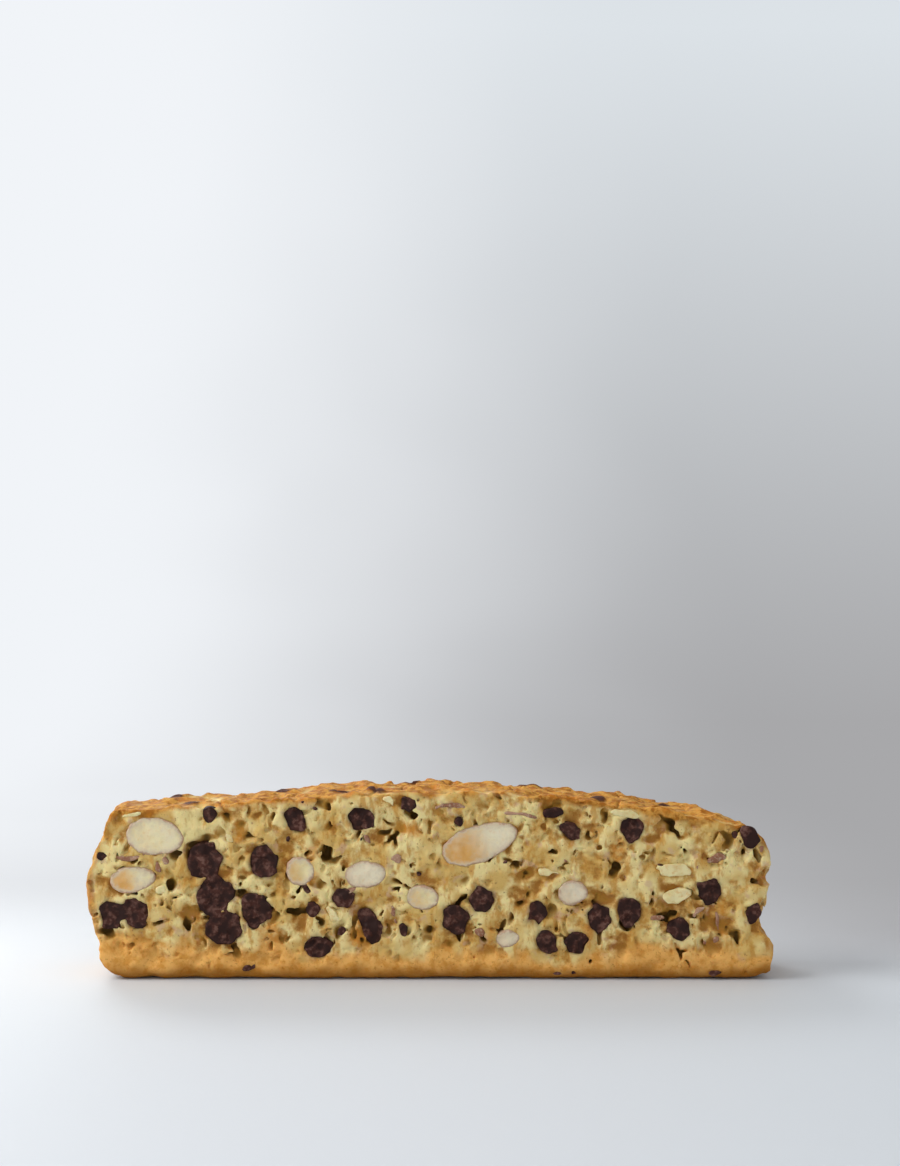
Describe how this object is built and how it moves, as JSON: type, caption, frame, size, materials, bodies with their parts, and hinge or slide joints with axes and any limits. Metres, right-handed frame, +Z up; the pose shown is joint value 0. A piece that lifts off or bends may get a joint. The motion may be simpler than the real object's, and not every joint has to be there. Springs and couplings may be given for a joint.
{
  "type": "almond and chocolate biscotto",
  "caption": "One cut slice of a twice-baked almond and chocolate loaf, with a domed browned top, a flat bottom crust, and sliced almonds and chocolate chips in both cut faces.",
  "frame": {"origin": "on the flat bottom crust, at the centre of the slice's length and thickness", "axes": "+X along the slice, +Y from the front cut face towards the back one, +Z up from the bottom crust to the domed top"},
  "size_m": [0.1449, 0.019, 0.0401],
  "materials": {
    "crumb": "dry, porous baked crumb with a browned crust",
    "almond": "cut nut, smooth and matt, with a brown skin",
    "chocolate": "cut dark chocolate, matt with a dull sheen"
  },
  "bodies": {
    "root": {"biscuit": "crumb", "almond_front_01": "almond", "almond_front_02": "almond", "almond_front_03": "almond", "almond_front_04": "almond", "almond_front_05": "almond", "almond_front_06": "almond", "almond_front_07": "almond", "almond_front_08": "almond", "chip_front_01": "chocolate", "chip_front_02": "chocolate", "chip_front_03": "chocolate", "chip_front_04": "chocolate", "chip_front_05": "chocolate", "chip_front_06": "chocolate", "chip_front_07": "chocolate", "chip_front_08": "chocolate", "chip_front_09": "chocolate", "chip_front_10": "chocolate", "chip_front_11": "chocolate", "chip_front_12": "chocolate", "chip_front_13": "chocolate", "chip_front_14": "chocolate", "chip_front_15": "chocolate", "chip_front_16": "chocolate", "chip_front_17": "chocolate", "chip_front_18": "chocolate", "chip_front_19": "chocolate", "chip_front_20": "chocolate", "chip_front_21": "chocolate", "chip_front_22": "chocolate", "chip_front_23": "chocolate", "almond_back_01": "almond", "almond_back_02": "almond", "almond_back_03": "almond", "almond_back_04": "almond", "almond_back_05": "almond", "almond_back_06": "almond", "chip_back_01": "chocolate", "chip_back_02": "chocolate", "chip_back_03": "chocolate", "chip_back_04": "chocolate", "chip_back_05": "chocolate", "chip_back_06": "chocolate", "chip_back_07": "chocolate", "chip_back_08": "chocolate", "chip_back_09": "chocolate"}
  },
  "joints": []
}
